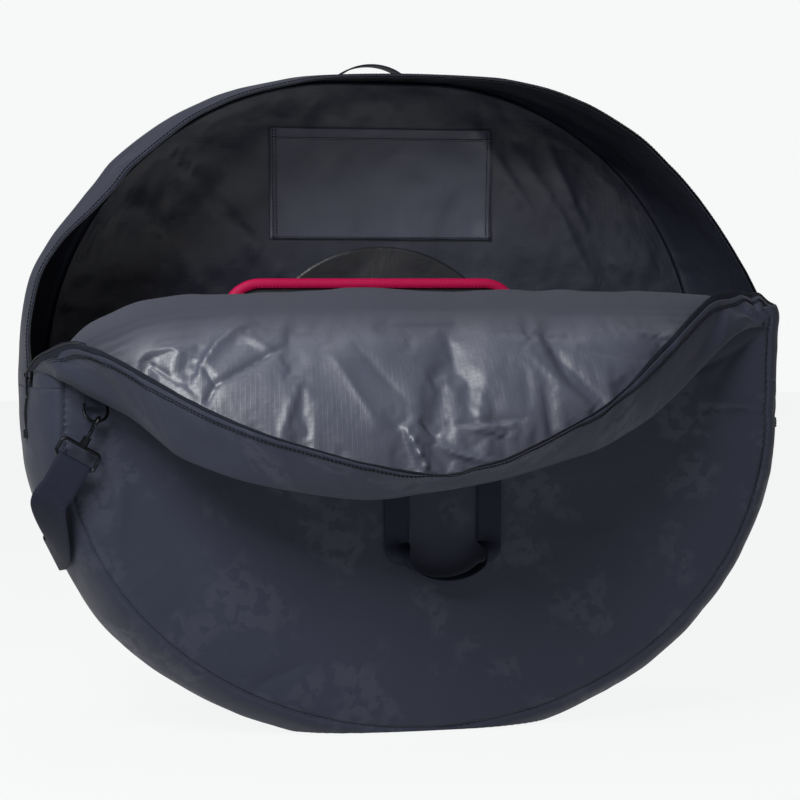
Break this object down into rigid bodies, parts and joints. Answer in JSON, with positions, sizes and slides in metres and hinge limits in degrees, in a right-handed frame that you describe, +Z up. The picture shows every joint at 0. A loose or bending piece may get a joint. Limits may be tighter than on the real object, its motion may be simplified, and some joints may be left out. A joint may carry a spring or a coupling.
{
  "type": "bike wheel bag",
  "caption": "Padded round bag for two bicycle wheels, standing open, with a zipped front flap, carry handles, a shoulder strap and a bound divider.",
  "frame": {"origin": "middle of the flat of the base that the bag stands on", "axes": "+X to the right as seen from the front, -Y the front, +Z up"},
  "size_m": [0.8738, 0.4697, 0.7579],
  "materials": {
    "outer_fabric": "woven polyester, faintly mottled",
    "lining_fabric": "coated ripstop, satin",
    "foam": "closed-cell foam sheet",
    "webbing": "ribbed webbing",
    "crimson_binding": "woven binding tape",
    "zip_tape": "woven zip tape",
    "zip_coil": "nylon coil",
    "black_metal": "black plated zinc",
    "pull_cord": "braided cord",
    "hub_guard": "coated fabric",
    "pocket_fabric": "ripstop patch",
    "base_board": "stiffener sheet"
  },
  "bodies": {
    "bag": {"back_panel_shell": "outer_fabric", "back_panel_foam": "foam", "back_panel_lining": "lining_fabric", "front_panel_shell": "outer_fabric", "front_panel_foam": "foam", "front_panel_lining": "lining_fabric", "lower_gusset_shell": "outer_fabric", "lower_gusset_lining": "lining_fabric", "rear_gusset_shell": "outer_fabric", "rear_gusset_lining": "lining_fabric", "zip_tape_rear": "zip_tape", "zip_coil_rear": "zip_coil", "zip_tape_front_left": "zip_tape", "zip_tape_front_right": "zip_tape", "flap_fold_roll": "lining_fabric", "front_handle_anchor_left": "webbing", "front_handle_anchor_right": "webbing", "back_handle_anchor_left": "webbing", "back_handle_anchor_right": "webbing", "ring_tab_left": "webbing", "ring_tab_right": "webbing", "strap_buckle_left": "black_metal", "strap_buckle_right": "black_metal", "shoulder_strap": "webbing", "hub_guard_back": "hub_guard", "hub_guard_front": "hub_guard", "pocket_panel": "pocket_fabric", "pocket_hem": "webbing", "base_board": "base_board", "back_seam_tape": "webbing", "front_seam_tape": "webbing"},
    "flap": {"flap_shell": "outer_fabric", "flap_foam": "foam", "flap_lining": "lining_fabric", "flap_band_shell": "outer_fabric", "flap_band_lining": "lining_fabric", "zip_tape_flap": "zip_tape", "zip_coil_flap": "zip_coil"},
    "front_handle": {"front_handle": "webbing"},
    "back_handle": {"back_handle": "webbing"},
    "slider_left": {"zip_slider_left": "black_metal"},
    "puller_left": {"zip_puller_left": "black_metal", "pull_cord_left": "pull_cord", "pull_knot_left": "pull_cord"},
    "slider_right": {"zip_slider_right": "black_metal"},
    "puller_right": {"zip_puller_right": "black_metal", "pull_cord_right": "pull_cord", "pull_knot_right": "pull_cord"},
    "ring_left": {"d_ring_left": "black_metal"},
    "ring_right": {"d_ring_right": "black_metal"},
    "hook_left": {"snap_hook_left": "black_metal"},
    "hook_right": {"snap_hook_right": "black_metal"},
    "gate_left": {"snap_gate_left": "black_metal"},
    "gate_right": {"snap_gate_right": "black_metal"},
    "adjuster": {"strap_adjuster": "black_metal"},
    "divider": {"divider_foam": "foam", "divider_cover_front": "hub_guard", "divider_cover_back": "hub_guard", "divider_binding": "crimson_binding"}
  },
  "joints": [
    {"name": "flap_fold", "type": "hinge", "parent": "bag", "child": "flap", "pos_m": [0, -0.125, 0.475], "axis": [-1, 0, 0], "range_deg": [0, 147]},
    {"name": "front_handle_swing", "type": "hinge", "parent": "bag", "child": "front_handle", "pos_m": [0.016, -0.1248, 0.452], "axis": [-1, 0, 0], "range_deg": [0, 18]},
    {"name": "back_handle_swing", "type": "hinge", "parent": "bag", "child": "back_handle", "pos_m": [-0.007, 0.1248, 0.476], "axis": [-1, 0, 0], "range_deg": [0, 160]},
    {"name": "zip_travel_left", "type": "hinge", "parent": "bag", "child": "slider_left", "pos_m": [-0.07041, -0.058, 0.385], "axis": [0, 1, 0], "range_deg": [0, 84]},
    {"name": "puller_swing_left", "type": "hinge", "parent": "slider_left", "child": "puller_left", "pos_m": [-0.43309, -0.058, 0.39767], "axis": [0, 1, 0], "range_deg": [0, 150]},
    {"name": "zip_travel_right", "type": "hinge", "parent": "bag", "child": "slider_right", "pos_m": [0.07041, -0.058, 0.385], "axis": [0, -1, 0], "range_deg": [0, 84]},
    {"name": "puller_swing_right", "type": "hinge", "parent": "slider_right", "child": "puller_right", "pos_m": [0.43309, -0.058, 0.39767], "axis": [0, -1, 0], "range_deg": [0, 150]},
    {"name": "ring_tilt_left", "type": "hinge", "parent": "bag", "child": "ring_left", "pos_m": [-0.366, -0.1269, 0.368], "axis": [-1, 0, 0], "range_deg": [0, 2]},
    {"name": "ring_tilt_right", "type": "hinge", "parent": "bag", "child": "ring_right", "pos_m": [0.366, 0.1269, 0.368], "axis": [1, 0, 0], "range_deg": [0, 2]},
    {"name": "hook_swivel_left", "type": "hinge", "parent": "bag", "child": "hook_left", "pos_m": [-0.37225, -0.1371, 0.33951], "axis": [-0.5, 0, -0.866], "range_deg": [-10, 10]},
    {"name": "hook_swivel_right", "type": "hinge", "parent": "bag", "child": "hook_right", "pos_m": [0.36013, 0.1371, 0.3393], "axis": [-0.4695, 0, -0.8829], "range_deg": [-10, 10]},
    {"name": "gate_left", "type": "hinge", "parent": "hook_left", "child": "gate_left", "pos_m": [-0.37225, -0.1407, 0.33951], "axis": [-0.866, 0, 0.5], "range_deg": [0, 25], "stiffness_Nm_per_rad": 0.002},
    {"name": "gate_right", "type": "hinge", "parent": "hook_right", "child": "gate_right", "pos_m": [0.36013, 0.1407, 0.3393], "axis": [0.8829, 0, -0.4695], "range_deg": [0, 25], "stiffness_Nm_per_rad": 0.002},
    {"name": "adjuster_slide", "type": "slide", "parent": "bag", "child": "adjuster", "axis": [1, 0, 0], "range_m": [-0.012, 0.012]},
    {"name": "divider_flex", "type": "hinge", "parent": "bag", "child": "divider", "pos_m": [-0.035, 0, 0.0063], "axis": [1, 0, 0], "range_deg": [-4, 4]}
  ]
}
